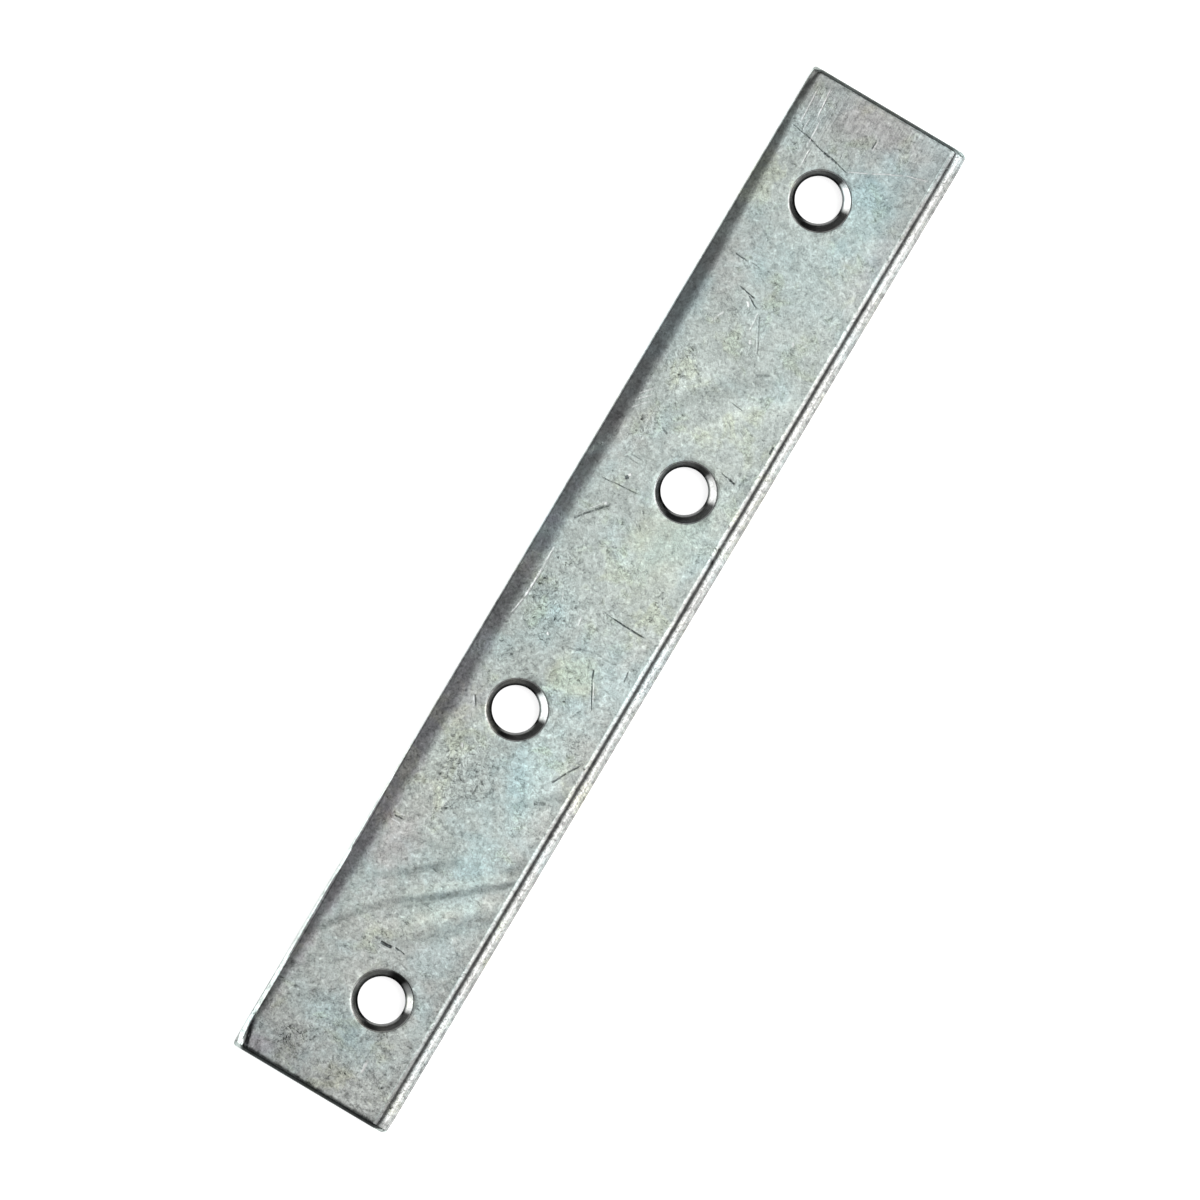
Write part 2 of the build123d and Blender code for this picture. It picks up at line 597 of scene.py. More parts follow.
# marks on the front, in mm from the middle of the plate: from, to, half width, strength
darkScratches = [
    ((-7, 45.25), (-5.3, 45), 0.08, 0.57),
    ((-5.5, 45.05), (-4.2, 44.7), 0.12, 1.03),
    ((-4.3, 44.73), (-3.2, 44.46), 0.09, 0.8),
    ((-3.4, 44.5), (-1.6, 44.2), 0.14, 1.26),
    ((-1.8, 44.25), (-0.4, 43.9), 0.09, 0.8),
    ((0.25, 47.8), (0.25, 46.8), 0.11, 0.8),
    ((-5.5, 32.75), (-4.1, 32.7), 0.09, 0.8),
    ((-4, 32.75), (-2.8, 32.7), 0.08, 0.46),
    ((-3.7, 30.45), (-1.8, 30.1), 0.11, 0.92),
    ((-2.6, 30.15), (-1.2, 29.4), 0.11, 0.92),
    ((-0.8, 29.1), (0.9, 25.8), 0.14, 0.4),
    ((1.6, 24.2), (3, 25), 0.17, 0.65),
    ((1, 21.1), (2.4, 20.95), 0.09, 0.57),
    ((6.25, 19.6), (6.35, 18.8), 0.19, 1.15),
    ((-3.2, 16.05), (-2.4, 15.7), 0.15, 0.57),
    ((3.5, 15.2), (4.6, 15.05), 0.11, 0.69),
    ((4.4, 15.1), (5.1, 14.95), 0.14, 1.15),
    ((6.3, 16.8), (5.3, 15.2), 0.19, 0.46),
    ((-4.4, 12.6), (-3.1, 12.6), 0.09, 0.46),
    ((-4.4, 12.2), (-3.2, 12.15), 0.09, 0.4),
    ((-3.7, 10.5), (-3.4, 10.75), 0.24, 1.2),
    ((-5.7, 9.5), (-1.7, 9.85), 0.08, 0.69),
    ((-0.85, 8.9), (-0.55, 8.5), 0.17, 0.69),
    ((-5.9, 5), (-4.4, 6.8), 0.12, 0.85),
    ((-4.6, 6.6), (-3.5, 7.8), 0.17, 1.0),
    ((-0.4, 7.5), (-0.1, 7), 0.15, 0.57),
    ((0.7, -0.75), (2.2, -0.9), 0.09, 0.57),
    ((1.6, -0.85), (5.4, -0.95), 0.11, 1.15),
    ((-0.5, -5.25), (1.9, -4.3), 0.15, 0.4),
    ((1.9, -4.3), (4, -4.4), 0.15, 0.34),
    ((5.4, -4.1), (5.6, -5.3), 0.12, 0.69),
    ((2.7, -5.65), (3, -6.5), 0.13, 1.26),
    ((2.9, -6.3), (4.45, -9.05), 0.09, 1.03),
    ((3.6, -9.3), (3, -10.6), 0.11, 0.46),
    ((-5.3, -12.9), (-4.6, -14), 0.15, 0.75),
    ((4.45, -16.5), (6.2, -13.3), 0.11, 0.95),
    ((4.1, -18.7), (5.2, -18.1), 0.24, 0.65),
    ((-6, -25.85), (-5, -25.8), 0.12, 0.85),
    ((-1.3, -36.2), (0, -36.12), 0.2, 1.5),
    ((0.1, -36), (1.3, -36.1), 0.11, 1.03),
    ((1.1, -37), (2.2, -37.2), 0.14, 0.4),
    ((-7.9, -46.6), (-6.6, -51.0), 0.24, 1.38),
]
lightScratches = [
    ((-0.6, 44.05), (1.3, 45), 0.09, 0.69),
    ((1.2, 44.95), (4.2, 46.5), 0.08, 0.69),
    ((4.1, 46.45), (6.2, 47.05), 0.08, 0.69),
    ((-6.6, 49.2), (-6.4, 45.5), 0.09, 0.69),
    ((-5.6, 49.8), (-5.3, 46.7), 0.09, 0.8),
    ((-4.95, 46.9), (-4.8, 44), 0.09, 0.69),
    ((-4.45, 44.2), (-4.4, 42), 0.09, 0.57),
    ((-5.9, 46.7), (-5.85, 45.2), 0.08, 0.57),
    ((0.45, 47.9), (0.45, 46.7), 0.09, 0.69),
    ((-2.3, 29.7), (-1.9, 29.2), 0.19, 1.15),
    ((-0.95, 29.3), (-0.8, 27.3), 0.11, 0.57),
    ((-3.6, 27.8), (-4.25, 26.4), 0.14, 0.57),
    ((-0.4, 26.8), (-0.1, 26.45), 0.19, 1.03),
    ((-6.45, 17.6), (-5.3, 18.9), 0.12, 0.69),
    ((-6.45, 16.9), (-5.25, 18.25), 0.11, 0.69),
    ((-6.4, 16.2), (-5.15, 17.6), 0.11, 0.57),
    ((-3.5, 10.8), (-3.3, 11.1), 0.18, 1.03),
    ((-4.3, 7.5), (-3.8, 7.8), 0.2, 1.15),
    ((-4.95, 6.6), (-3.95, 7.85), 0.09, 0.69),
    ((-5.93, 2.1), (-5.85, -0.1), 0.13, 0.69),
    ((-5.85, 0.1), (-5.9, -3.5), 0.15, 1.03),
    ((-5.9, -3.3), (-6.25, -5.2), 0.12, 0.92),
    ((-3.2, -1), (-2.8, -2), 0.11, 0.46),
    ((-0.6, -2.1), (-0.5, -3.1), 0.12, 0.69),
    ((-2.6, -4.85), (-2.3, -5), 0.17, 1.03),
    ((3.15, -6.3), (4.2, -8.3), 0.08, 0.69),
    ((-6.1, -25.45), (-5, -25.4), 0.09, 0.69),
    ((-6.1, -26.25), (-5.1, -26.2), 0.09, 0.69),
    ((-1.3, -36.55), (-0.2, -36.5), 0.11, 0.69),
    ((3.2, -45.7), (3.3, -47.3), 0.2, 0.69),
    ((-4.1, -17.2), (-3.8, -17.6), 0.18, 0.92),
    ((3.1, 28.6), (3.3, 28.1), 0.17, 0.69),
]
# soft dark streaks across the strip, real marks that also carry painted shade beside them: half width, then
# places along each with its strength there
streaksAndShade = [
    (0.55, [(6.9, -25.3, 0.7), (5.9, -26.1, 1.0), (4.2, -27.6, 0.9), (1.7, -29.7, 1.0),
            (0.1, -31.0, 1.0), (-1.7, -32.2, 0.9), (-3.2, -33.6, 0.5), (-4.4, -34.9, 0.6),
            (-6.3, -37.4, 0.8), (-7.3, -38.6, 0.7)]),
    (0.28, [(4.4, -27.6, 0.2), (1.7, -29.6, 0.8), (-1.1, -31.7, 0.8), (-2.4, -32.9, 0.3)]),
    (0.28, [(1.3, -30.5, 0.4), (0.2, -31.5, 0.8), (-1.0, -32.4, 0.5)]),
    (0.6, [(1.2, -26.4, 0.5), (-0.6, -28.0, 0.9), (-2.1, -29.4, 0.7), (-3.5, -30.5, 0.5),
           (-5.6, -31.9, 0.2)]),
    (0.6, [(0.1, -26.0, 0.0), (-1.8, -26.4, 0.6), (-4.0, -27.0, 0.1)]),
    (1.1, [(6.6, -29.0, 0.7), (4.6, -30.9, 0.6), (2.6, -33.2, 0.6), (0.4, -35.0, 0.4), (-1.4, -36.4, 0.1)]),
    (0.7, [(7.0, -23.4, 0.5), (5.6, -24.9, 0.6), (4.2, -26.0, 0.2)]),
    (0.9, [(6.8, -16.2, 0.6), (4.7, -18.3, 0.7), (2.7, -19.7, 0.4), (0.9, -20.3, 0.2)]),
    (1.4, [(5.4, 26.8, 0.3), (2.2, 23.8, 0.4), (-1.4, 20.6, 0.4), (-4.4, 17.4, 0.2)]),
    (0.8, [(6.9, 15.8, 0.3), (4.7, 12.0, 0.3), (2.4, 7.8, 0.2)]),
]
# and soft pale ones beside them, painted highlight on the lit flank of each ridge
ridgeHighlights = [
    (0.6, [(6.6, -24.6, 0.5), (4.2, -26.5, 0.9), (1.2, -29.0, 1.0), (-1.7, -31.3, 0.6)]),
    (0.9, [(5.8, -27.6, 0.5), (3.4, -30.2, 1.0), (0.6, -32.7, 0.9), (-2.4, -35.4, 0.4)]),
    (1.0, [(6.0, 23.8, 0.2), (3.2, 21.4, 0.9), (0.6, 18.4, 0.8), (-1.2, 15.8, 0.3)]),
]
# patches on the front, by tint: middle, how far each reaches across and along, strength
tintPatches = {
    "blue": [
        ((3, 42.3), (3.2, 7.0), 1.08),
        ((0.4, 34.3), (4.5, 6.0), 0.48),
        ((-3.4, -3.2), (3.0, 4.5), 0.6),
        ((3.4, -16.9), (3.6, 5.5), 0.75),
        ((2.2, -25.9), (2.6, 3.0), 0.7),
        ((-1.2, -44.2), (4.5, 2.6), 0.8),
        ((2.0, -45.6), (3.6, 2.6), 0.75),
    ],
    "straw": [
        ((2.6, 8.3), (4.0, 9.0), 0.66),
        ((0, 6.3), (1.4, 2.0), 0.72),
        ((1.4, -7.1), (2.6, 2.4), 1.8),
        ((0.8, -31.9), (3.0, 3.0), 0.3),
        ((-4.8, -19.7), (2.0, 6.0), 0.15),
    ],
    "mauve": [
        ((-0.7, 48.6), (6.5, 2.2), 0.7),
        ((5.8, 38.3), (1.4, 6.0), 0.72),
        ((-5.4, -13.7), (2.0, 4.0), 0.96),
        ((-4.6, -28.2), (2.6, 4.0), 0.84),
    ],
    "violet": [
        ((-7.3, -20), (1.6, 34), 0.9),
        ((-5.9, -49.6), (1.8, 1.2), 0.6),
        ((-7.3, 20), (1.4, 24), 0.5),
    ],
    "warm": [
        ((0, -36), (9, 8), 1.0),
        ((-4.6, -26), (3, 7), 0.9),
        ((-5.4, 14), (2.2, 4), 0.9),
        ((-5.2, 32), (2.2, 5), 0.8),
        ((5.8, -20), (2.4, 24), 0.8),
    ],
    # the dim patches at x -6.3 and -6.6 lie on the left roll-over and are painted shade deepening its dark
    # band; the other dim ones darken the face in places
    "dim": [
        ((5.8, 43.5), (3.2, 8.5), 1.1),
        ((0.5, 46.5), (3, 4), 0.4),
        ((-6.6, 30), (2, 4.5), 1.6),
        ((5.6, -36.5), (3, 5.5), 0.9),
        ((1.4, -36), (2.5, 2), 0.75),
        ((-3.5, -48.6), (4, 2.4), 0.5),
        ((5.9, -24), (1.8, 4), 0.6),
        ((-6.4, -33), (1.4, 4), 0.6),
        ((-4.2, 36), (2.8, 3), 0.5),
        ((1.3, -30.8), (1.6, 1.8), 0.5),
        ((0.4, -16), (2, 1.6), 0.5),
        ((0.6, -23.8), (2.2, 1.8), 0.5),
        ((0.4, 44.6), (2.4, 1.4), 0.5),
        ((2.4, 38.6), (1.8, 1.4), 0.5),
        ((-6.3, 21), (1.1, 11), 0.55),
        ((-6.3, -15), (1.1, 4), 0.6),
        ((-6.3, -29.5), (1.1, 8), 0.55),
        ((4, 32.8), (2.2, 2.4), 0.5),
        ((4.4, 24.2), (1.6, 1.6), 0.45),
        ((1.2, 49.2), (4.5, 1.3), 0.5),
    ],
    "pale": [
        ((-3.3, 22), (3, 4), 0.9),
        ((2.4, 20), (3.6, 3.5), 0.7),
        ((0.5, 4.5), (5, 4.5), 0.45),
        ((-3.2, -1), (3.2, 6), 0.6),
        ((3.6, -16), (2.6, 6), 0.6),
        ((-4.8, -20), (3.2, 5.5), 0.9),
        ((-4, -45), (4, 3), 0.5),
        ((1.8, -47.3), (5, 3.4), 0.6),
        ((5.2, -48.8), (2.4, 2), 1.7),
        ((-4.4, 14), (2, 8), 0.4),
        ((-2.7, 26.5), (2, 2), 0.6),
        ((5.8, 13), (1.6, 4), 0.9),
        ((5.6, 1.8), (1.8, 2.6), 0.6),
        ((4.8, -18.6), (2.2, 1.6), 0.9),
        ((-2.2, 19.4), (2.4, 3.4), 0.4),
        ((-2.9, -23.2), (2.4, 3.2), 0.4),
        ((6.2, -28.4), (1.2, 1), 0.8),
        ((6, 8.6), (1.4, 1.8), 0.6),
    ],
}
# where the plating is grainiest: middle, reach, strength
pittedSpots = [
    ((-4.4, 21.3), (2.6, 4), 0.6),
    ((-1.6, 20.3), (1.8, 1.8), 0.5),
    ((-3, 27.8), (2.6, 3), 0.4),
    ((0.1, 25.8), (1.8, 1.4), 0.4),
    ((-3.4, -2.9), (3.4, 4.2), 0.9),
    ((-3.8, -8.7), (2.4, 1.6), 0.6),
    ((-3, -19.7), (3.8, 5), 1),
    ((0.7, -18.3), (2, 1.8), 0.5),
    ((-4.1, -47.3), (2.2, 1.6), 1),
    ((4.8, 2.7), (1.2, 1.8), 0.8),
    ((4.5, -12.1), (1.8, 1.6), 0.8),
    ((-4.8, 15.3), (1.6, 3.4), 0.5),
    ((3, -42.3), (2, 2.6), 0.5),
    ((-4.1, 1.7), (2.6, 1.8), 0.6),
]
tints = {    # multipliers of the plating's colour
    "blue": (0.91, 1.01, 1.045, 1),
    "straw": (1.05, 1.015, 0.905, 1),
    "mauve": (1.01, 0.955, 0.985, 1),
    "violet": (1.0, 0.9, 1.0, 1),
    "warm": (1.035, 0.975, 0.97, 1),
    "dim": (0.84, 0.845, 0.85, 1),
    "pale": (1.16, 1.165, 1.16, 1),
    "paintedRidge": (1.17, 1.16, 1.13, 1),
    "streak": (0.56, 0.57, 0.57, 1),
    "scratch": (0.24, 0.25, 0.26, 1),
    "ends": (1.05, 0.985, 0.995, 1),
    "bare": (1.06, 0.965, 0.985, 1),      # coat rubbed off to plain white steel
    "sinkShade": (0.1, 0.1, 0.1, 1),
    "boreShade": (0.12, 0.13, 0.13, 1),
    "torn": (0.72, 0.74, 0.74, 1),
}
metals = {    # colours that take the plating's place
    "brightScratch": (0.9, 0.92, 0.91, 1),
    "boreHighlight": (0.7, 0.71, 0.7, 1),
    "endLipShade": (0.02, 0.022, 0.022, 1),
}
face = {
    "sheen": 0.36,              # roughness of the satin face
    "pits": 0.008 * mm,         # height of the plating's grain
    "groove": 0.015 * mm,
}


def patchOf(tree, place, centre, reach):
    return useGroup(tree, raggedPatch, Place=place, Centre=(centre[0] * mm, centre[1] * mm, 0),
                    Reach=(reach[0] * mm, reach[1] * mm, 1))[0]


def stronger(tree, total, mask):
    # taken in one by one, because a long list of waiting masks is too much for the renderer
    return mask if total is None else calc(tree, "MAXIMUM", total, mask)


def sumScratches(tree, place, scratches):
    total = None
    for (x0, y0), (x1, y1), width, strength in scratches:
        total = stronger(tree, total, useGroup(
            tree, hairline, Place=place, Start=(x0 * mm, y0 * mm, 0), End=(x1 * mm, y1 * mm, 0),
            Width=width * mm, Wander=0.12 * mm, First=strength, Last=strength, Taper=1.0)[0])
    return total


def sumStreaks(tree, place, streaks):
    total = None
    for width, points in streaks:
        for (x0, y0, first), (x1, y1, last) in zip(points, points[1:]):
            total = stronger(tree, total, useGroup(
                tree, hairline, Place=place, Start=(x0 * mm, y0 * mm, 0), End=(x1 * mm, y1 * mm, 0),
                Width=width * mm, Wander=0.45 * mm, First=first, Last=last, Taper=0.0)[0])
    return total


def addMarks(tree, place, front, colour):
    # tint patches, streaks and scratches, which skip here and there; some patches and the streaks carry
    # painted shade, and the pale ridges a painted highlight
    for tint, patches in tintPatches.items():
        for centre, reach, strength in patches:
            mask = calc(tree, "MULTIPLY", patchOf(tree, place, centre, reach), strength)
            colour = blend(tree, calc(tree, "MULTIPLY", mask, front), colour, tints[tint], "MULTIPLY")
    streak = calc(tree, "MULTIPLY", sumStreaks(tree, place, streaksAndShade), front)
    ridgeHighlight = calc(tree, "MULTIPLY", sumStreaks(tree, place, ridgeHighlights), front)
    dark = calc(tree, "MULTIPLY", sumScratches(tree, place, darkScratches), front)
    light = calc(tree, "MULTIPLY", sumScratches(tree, place, lightScratches), front)
    broken = ramp(tree, grain(tree, place, 0.3 * mm, 2), 0.3, 0.55, 0.35, 1.0)
    dark = calc(tree, "MULTIPLY", dark, broken)
    light = calc(tree, "MULTIPLY", light, broken)
    # painted highlight beside the streaks
    colour = blend(tree, ridgeHighlight, colour, tints["paintedRidge"], "MULTIPLY")
    colour = blend(tree, streak, colour, tints["streak"], "MULTIPLY")
    colour = blend(tree, dark, colour, tints["scratch"], "MULTIPLY")
    colour = blend(tree, calc(tree, "MULTIPLY", light, 0.85), colour, metals["brightScratch"])
    return colour, streak, dark, light


def endsShadeAndLines(tree, place, at, colour):
    # painted shade: both ends are darker; they also get a faint tint and fine lines from rumbling
    top = ramp(tree, at["Y"], 40 * mm, 51 * mm)
    bottom = ramp(tree, at["Y"], -35 * mm, -51 * mm)
    lines = useGroup(tree, drawLines, Place=place, Pitch=(0.15 * mm, 2.6 * mm, 1))[0]
    corner = patchOf(tree, place, (-5.1, 47.1), (1.9, 4.2))
    brushed = calc(tree, "ADD", calc(tree, "MULTIPLY", top, 0.45), calc(tree, "MULTIPLY", bottom, 0.3))
    brushed = calc(tree, "MULTIPLY_ADD", corner, 0.7, brushed)
    brushed = calc(tree, "MULTIPLY", brushed, calc(tree, "SUBTRACT", lines, 0.5))
    # painted shade: darker towards both ends
    tone = calc(tree, "SUBTRACT", 1.0, calc(tree, "MULTIPLY", top, 0.22))
    tone = calc(tree, "SUBTRACT", tone, calc(tree, "MULTIPLY", bottom, 0.27))
    tone = calc(tree, "MULTIPLY_ADD", brushed, 1.5, tone)
    # a little darker beside the right edge
    tone = calc(tree, "MULTIPLY", tone, ramp(tree, at["X"], 5.2 * mm, 6.2 * mm, 1.0, 0.87))
    # painted shade: a ragged dark line where each end rolls over, thicker at the bottom
    torn = calc(tree, "MULTIPLY_ADD", grain(tree, place, 1.1 * mm, 3), 0.5 * mm, -0.25 * mm)
    torn = calc(tree, "ADD", at["Y"], torn)
    tone = calc(tree, "MULTIPLY", tone, ramp(tree, torn, 50.25 * mm, 50.5 * mm, 1.0, 0.4))
    tone = calc(tree, "MULTIPLY", tone, ramp(tree, torn, -50.1 * mm, -50.4 * mm, 1.0, 0.12))
    colour = blend(tree, 1.0, colour, greyOf(tree, tone), "MULTIPLY")
    colour = blend(tree, calc(tree, "MAXIMUM", top, bottom), colour, tints["ends"], "MULTIPLY")
    return colour, brushed


def zincFace():
    tree, skin = newSkin("zincFace")
    place = put(tree, "TexCoord").outputs["Object"]
    at = split(tree, place)
    front = ramp(tree, at["Z"], 1.0 * mm, 1.1 * mm)
    pitted = None
    for centre, reach, strength in pittedSpots:
        spot = calc(tree, "MULTIPLY", patchOf(tree, place, centre, reach), strength)
        pitted = stronger(tree, pitted, spot)
    # the plating is smoother on the upper half and grainiest at the bottom
    speckle = calc(tree, "ADD", ramp(tree, at["Y"], -3 * mm, 5 * mm, 1.0, 0.85),
                   ramp(tree, at["Y"], -38 * mm, -46 * mm, 0.0, 0.2))
    plating = useGroup(tree, zincCoat, Place=place, Speckle=speckle, Pitted=pitted)
    colour, streak, dark, light = addMarks(tree, place, front, plating["Color"])
    colour, brushed = endsShadeAndLines(tree, place, at, colour)
    level = split(tree, put(tree, "NewGeometry").outputs["Normal"])
    # painted highlight: colour made much paler where a corner is bent down steeply
    paintedSteepHighlight = calc(tree, "MULTIPLY", ramp(tree, level["Z"], 0.85, 0.72, 0.0, 0.9), front)
    colour = blend(tree, paintedSteepHighlight, colour, calcVector(tree, "SCALE", plating["Color"], 1.9))
    feed(tree, skin.inputs["Base Color"], colour)
    upright = ramp(tree, calc(tree, "ABSOLUTE", level["Z"]), 0.94, 1.0, 0.13, face["sheen"])
    dull = calc(tree, "MULTIPLY_ADD", plating["Dull"], 0.16, calc(tree, "SUBTRACT", upright, 0.12))
    feed(tree, skin.inputs["Roughness"], calc(tree, "SUBTRACT", dull, calc(tree, "MULTIPLY", dark, 0.08)))
    height = calc(tree, "MULTIPLY", plating["Height"], face["pits"])
    height = calc(tree, "SUBTRACT", height, calc(tree, "MULTIPLY", dark, face["groove"]))
    height = calc(tree, "SUBTRACT", height, calc(tree, "MULTIPLY", light, face["groove"] / 2))
    height = calc(tree, "ADD", height, calc(tree, "MULTIPLY", brushed, face["pits"]))
    height = calc(tree, "SUBTRACT", height, calc(tree, "MULTIPLY", streak, 0.006 * mm))
    feed(tree, skin.inputs["Normal"], relief(tree, height))


def rolledEdge():
    tree, skin = newSkin("rolledEdge")
    place = put(tree, "TexCoord").outputs["Object"]
    plating = useGroup(tree, zincCoat, Place=place, Speckle=1.0, Pitted=0.3)
    lines = useGroup(tree, drawLines, Place=place, Pitch=(0.12 * mm, 2.6 * mm, 0.12 * mm))[0]
    level = split(tree, put(tree, "NewGeometry").outputs["Normal"])
    upright = calc(tree, "ABSOLUTE", level["Z"])
    paintedPale = ramp(tree, upright, 0.88, 0.76, 0.0, 0.8)       # painted highlight: colour made paler down the steep side
    colour = blend(tree, paintedPale, plating["Color"], calcVector(tree, "SCALE", plating["Color"], 1.8))
    at = split(tree, place)
    # rubbed bare from where the rounding starts
    colour = blend(tree, ramp(tree, upright, 0.9995, 0.995), colour, tints["bare"], "MULTIPLY")
    # painted highlight: a bright line there, fainter towards the ends, where it turns into a darker line
    paintedCrestLine = calc(tree, "MULTIPLY", ramp(tree, upright, 0.9997, 0.998), ramp(tree, upright, 0.976, 0.99))
    gain = ramp(tree, calc(tree, "ABSOLUTE", at["Y"]), 34 * mm, 47 * mm, 0.4, -0.3)
    tone = calc(tree, "MULTIPLY_ADD", paintedCrestLine, gain, 1.0)
    # painted shade: a darker band down the rounding, just past the bright line
    paintedDarkBand = calc(tree, "MULTIPLY", ramp(tree, upright, 0.986, 0.97), ramp(tree, upright, 0.9, 0.935))
    tone = calc(tree, "MULTIPLY", tone, calc(tree, "MULTIPLY_ADD", paintedDarkBand, -0.28, 1.0))
    # painted shade: the outermost, steepest part darkened
    tone = calc(tree, "MULTIPLY", tone, ramp(tree, upright, 0.66, 0.58, 1.0, 0.66))
    feed(tree, skin.inputs["Base Color"], calcVector(tree, "SCALE", colour, tone))
    # dull down the side
    polish = ramp(tree, upright, 0.94, 1.0, 0.13, face["sheen"])
    polish = calc(tree, "MAXIMUM", polish, ramp(tree, upright, 0.84, 0.74, 0.1, 0.52))
    polish = calc(tree, "SUBTRACT", polish, 0.04)
    feed(tree, skin.inputs["Roughness"], calc(tree, "MULTIPLY_ADD", lines, 0.1, polish))
    height = calc(tree, "MULTIPLY", plating["Height"], 0.004 * mm)
    height = calc(tree, "MULTIPLY_ADD", lines, 0.004 * mm, height)
    feed(tree, skin.inputs["Normal"], relief(tree, height))


def sinkWall():
    tree, skin = newSkin("sinkWall")
    place = put(tree, "TexCoord").outputs["Object"]
    plating = useGroup(tree, zincCoat, Place=place, Speckle=0.5)
    rings = useGroup(tree, drawLines, Place=place, Pitch=(1.5 * mm, 1.5 * mm, 0.07 * mm))[0]
    # painted shade: a dark line round the top of the bore; painted highlight: paler at its lower right,
    # which is also rougher
    boreShadeLine = paintedPale = shadedSide = None
    for mount, share in zip(screwHoles, hole["shadedSide"]):
        off = calcVector(tree, "SUBTRACT", place, mount["pos_m"])
        off = calcVector(tree, "MULTIPLY", off, (1, 1, 0))
        away = calcVector(tree, "LENGTH", off)
        side = calc(tree, "DIVIDE", calcVector(tree, "DOT_PRODUCT", off, hole["highlightWay"]), away)
        line = ramp(tree, away, 2.4 * mm, 2.22 * mm)
        boreShadeLine = stronger(tree, boreShadeLine, line)
        paintedPale = stronger(tree, paintedPale, calc(tree, "MULTIPLY", line, ramp(tree, side, 0.55, 0.95)))
        # painted shade: one side of some sinks is darkened
        side = calc(tree, "DIVIDE", calcVector(tree, "DOT_PRODUCT", off, hole["shadeWay"]), away)
        near = ramp(tree, away, 3.4 * mm, 3.2 * mm, 0.0, share)
        shadedSide = stronger(tree, shadedSide, calc(tree, "MULTIPLY", near, ramp(tree, side, 0.76, 0.93)))
    turned = ramp(tree, rings, 0.4, 0.66)
    metal = calcVector(tree, "MULTIPLY", plating["Color"], tints["bare"][:3])
    colour = blend(tree, turned, calcVector(tree, "SCALE", metal, 0.85), metal)
    colour = blend(tree, shadedSide, colour, tints["sinkShade"], "MULTIPLY")
    colour = blend(tree, boreShadeLine, colour, tints["boreShade"], "MULTIPLY")
    feed(tree, skin.inputs["Base Color"], blend(tree, paintedPale, colour, metals["boreHighlight"]))
    polish = calc(tree, "MULTIPLY_ADD", rings, 0.12, 0.05)
    feed(tree, skin.inputs["Roughness"], calc(tree, "MULTIPLY_ADD", paintedPale, 0.4, polish))
    height = calc(tree, "MULTIPLY", plating["Height"], 0.0004 * mm)
    height = calc(tree, "MULTIPLY_ADD", rings, 0.0006 * mm, height)
    feed(tree, skin.inputs["Normal"], relief(tree, height))


def shearedEdge():
    tree, skin = newSkin("shearedEdge")
    place = put(tree, "TexCoord").outputs["Object"]
    at = split(tree, place)
    plating = useGroup(tree, zincCoat, Place=place, Speckle=0.8)
    torn = calc(tree, "MULTIPLY_ADD", grain(tree, place, 1.5 * mm, 3), 0.5 * mm, -0.25 * mm)
    torn = calc(tree, "ADD", at["Z"], torn)
    broken = ramp(tree, torn, 1.2 * mm, 1.0 * mm)         # below the burnished band the steel tore
    lines = useGroup(tree, drawLines, Place=place, Pitch=(0.1 * mm, 0.1 * mm, 2 * mm))[0]
    crumbs = grain(tree, place, 0.16 * mm, 4, 0.7)
    grey = calc(tree, "MULTIPLY", broken, 0.6)
    colour = blend(tree, grey, plating["Color"], tints["torn"], "MULTIPLY")
    # painted shade: the lip rolled over at each end is darkened, most of all at the bottom
    lipShade = calc(tree, "MAXIMUM", ramp(tree, at["Y"], 50.2 * mm, 50.4 * mm, 0.0, 0.6),
               ramp(tree, at["Y"], -50.2 * mm, -50.4 * mm, 0.0, 0.85))
    lipShade = calc(tree, "MULTIPLY", lipShade, ramp(tree, at["Z"], 1.5 * mm, 1.8 * mm))
    colour = blend(tree, lipShade, colour, metals["endLipShade"])
    feed(tree, skin.inputs["Base Color"], colour)
    feed(tree, skin.inputs["Roughness"], ramp(tree, broken, 0.0, 1.0, 0.2, 0.5, "LINEAR"))
    rough = calc(tree, "MULTIPLY", calc(tree, "MULTIPLY", crumbs, broken), 0.04 * mm)
    height = calc(tree, "MULTIPLY_ADD", lines, 0.008 * mm, rough)
    feed(tree, skin.inputs["Normal"], relief(tree, height))


studio = {
    "lean": radians(30.75),     # plate's top end leans to the right
    "lens": 800,
    "frameHeight": 0.107,       # height of what the camera sees
    "boxTilt": radians(15),     # soft box, from straight up, to the right of the camera
    "boxTurn": radians(36),     # and round from the plate's width towards its top end
    "boxDistance": 6,
    "boxSize": (1.6, 3.0),
    "boxGlow": 4.8,             # brightness of the soft box's face, white is 1
    "wallGlow": 1.9,            # of the wall on the right
    "cardGlow": 3.7,            # and of the low card on the left
    "cardWay": (-0.996, -0.09, 0),   # where the card stands, as the camera sees it
    "floorSize": 6,             # fills every view
    "floorGap": 0.02 * mm,      # floor lies a hair under the plate
    "paper": (0.86, 0.86, 0.86, 1),
    "paperGlow": 0.75,          # makes up for the dim room, so that the paper stays white
}


def makeCamera():
    low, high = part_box("plate")
    middle = (low + high) / 2
    lens = bpy.data.cameras.new("overhead")
    lens.lens = studio["lens"]
    lens.clip_start, lens.clip_end = 0.01, 100
    camera = bpy.data.objects.new("overhead", lens)
    bpy.context.scene.collection.objects.link(camera)
    camera.rotation_euler = (0, 0, studio["lean"])
    height = studio["frameHeight"] * studio["lens"] / lens.sensor_width
    camera.location = (middle.x, middle.y, high.z + height)
    bpy.context.scene.camera = camera


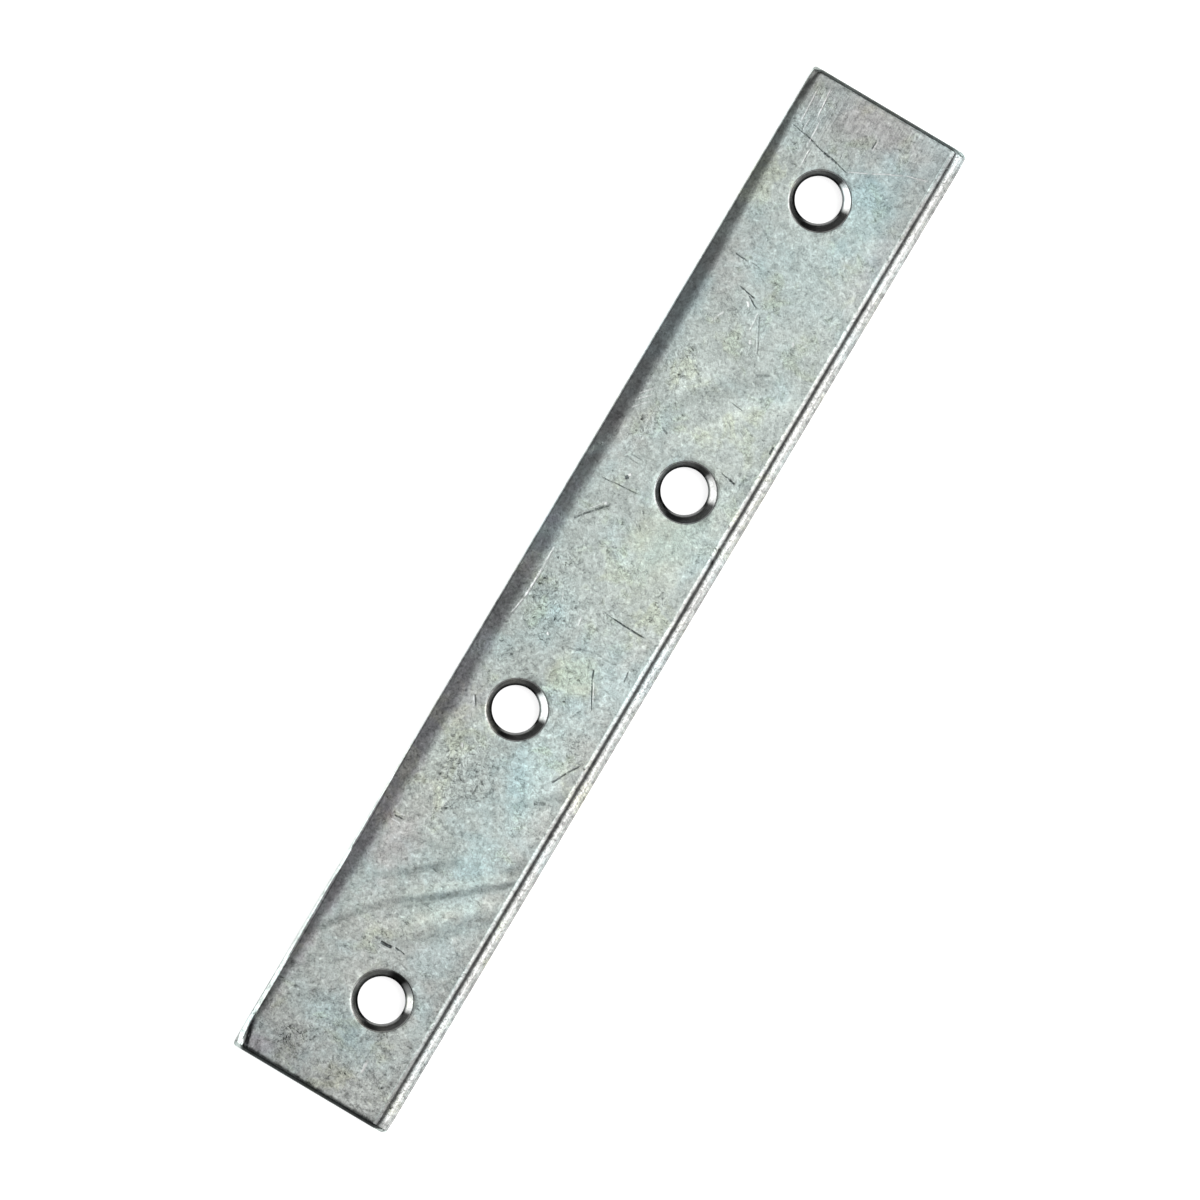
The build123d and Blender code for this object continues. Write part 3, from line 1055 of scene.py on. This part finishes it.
def makeFloor():
    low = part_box("plate")[0]
    clearSelection()
    bpy.ops.mesh.primitive_plane_add(size=studio["floorSize"], location=(0, 0, low.z - studio["floorGap"]))
    floor = bpy.context.object
    floor.name = "floor"
    tree, skin = newSkin("paper")
    skin.inputs["Metallic"].default_value = 0
    skin.inputs["Base Color"].default_value = studio["paper"]
    skin.inputs["Roughness"].default_value = 0.9
    skin.inputs["Specular IOR Level"].default_value = 0.1
    skin.inputs["Emission Color"].default_value = (1, 1, 1, 1)
    path = put(tree, "LightPath")
    seen = calc(tree, "MAXIMUM", path.outputs["Is Camera Ray"], path.outputs["Is Glossy Ray"])
    feed(tree, skin.inputs["Emission Strength"], calc(tree, "MULTIPLY", seen, studio["paperGlow"]))
    floor.data.materials.append(bpy.data.materials["paper"])


def makeLight():
    # one soft box beside the camera, to the right; the room round it is dim overhead
    turn, tilt = studio["boxTurn"], studio["boxTilt"]
    place = Vector((cos(turn) * sin(tilt), sin(turn) * sin(tilt), cos(tilt))) * studio["boxDistance"]
    lamp = bpy.data.lights.new("softBox", "AREA")
    lamp.shape = "RECTANGLE"
    lamp.size, lamp.size_y = studio["boxSize"]
    lamp.energy = studio["boxGlow"] * pi * lamp.size * lamp.size_y
    box = bpy.data.objects.new("softBox", lamp)
    bpy.context.scene.collection.objects.link(box)
    box.location = place
    box.rotation_euler = (-place).to_track_quat("-Z", "Y").to_euler()
    box.visible_camera = False

    world = bpy.data.worlds.new("room")
    bpy.context.scene.world = world
    world.use_nodes = True
    tree = world.node_tree
    tree.nodes.clear()
    out = put(tree, "OutputWorld")
    back = put(tree, "Background")
    turned = put(tree, "Mapping")
    feed(tree, turned.inputs["Vector"], put(tree, "TexCoord").outputs["Generated"])
    turned.inputs["Rotation"].default_value = (0, 0, -studio["lean"])
    way = split(tree, turned.outputs[0])
    # dim overhead, paler half way down, dim again at the foot of the walls
    walls = ramp(tree, way["Z"], 0.84, 0.58, 0.14, 0.85)
    # its foot is darkest at the upper right and paler at the bottom
    black = calcVector(tree, "DOT_PRODUCT", turned.outputs[0], (0.87, 0.5, 0))
    near = calcVector(tree, "DOT_PRODUCT", turned.outputs[0], (0.4, -0.92, 0))
    lowest = calc(tree, "MULTIPLY", ramp(tree, black, 0.4, 0.85, 0.09, 0.01),
                  ramp(tree, near, 0.55, 0.95, 1.0, 3.0))
    foot = ramp(tree, way["Z"], 0.25, 0.35, lowest, 1.0)
    glow = calc(tree, "MULTIPLY", walls, foot)
    # white wall on the right, and a low white card on the far left
    wall = ramp(tree, way["X"], 0.58, 0.78)
    wall = calc(tree, "MULTIPLY", wall, ramp(tree, way["Z"], 0.22, 0.3))
    glow = calc(tree, "MULTIPLY_ADD", wall, studio["wallGlow"], glow)
    low = calc(tree, "ABSOLUTE", calc(tree, "SUBTRACT", way["Z"], 0.17))
    side = calcVector(tree, "DOT_PRODUCT", turned.outputs[0], studio["cardWay"])
    card = calc(tree, "MULTIPLY", ramp(tree, low, 0.08, 0.14, 1.0, 0.0), ramp(tree, side, 0.8, 0.94))
    glow = calc(tree, "MULTIPLY_ADD", card, studio["cardGlow"], glow)
    feed(tree, back.inputs["Strength"], glow)
    tree.links.new(back.outputs[0], out.inputs[0])


def giveFinish(piece, name, wanted):
    piece.data.materials.append(bpy.data.materials[name])
    editOnly(piece)
    pickFaces(piece, wanted)
    piece.active_material_index = len(piece.data.materials) - 1
    bpy.ops.object.material_slot_assign()
    bpy.ops.object.mode_set(mode="OBJECT")


def dress(piece):
    low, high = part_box("plate")
    end = high.y - strip["endReach"]
    ring = hole["sinkWidth"] + hole["collar"]

    def near(at, mount):
        return (at.xy - Vector(mount["pos_m"]).xy).length < mount["dims"]["r_mm"] * mm + ring

    def inHole(at, normal):
        return abs(normal.z) < 0.9999 and any(near(at, mount) for mount in screwHoles)

    giveFinish(piece, "zincFace", lambda at, normal: True)
    giveFinish(piece, "rolledEdge", lambda at, normal: at.x > high.x - edges["rightReach"])
    giveFinish(piece, "shearedEdge", lambda at, normal: abs(at.y) > end or at.x < low.x + 0.05 * mm)
    giveFinish(piece, "sinkWall", inHole)


zincFace()
rolledEdge()
sinkWall()
shearedEdge()
plate = makeStrip()
shapeEdges(plate)
punchHoles(plate)
dress(plate)
unevenFace(plate)
smoothOver(plate)
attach(plate, "root")
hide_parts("plate")
makeFloor()
makeCamera()
makeLight()
bpy.context.scene.view_settings.view_transform = "Standard"
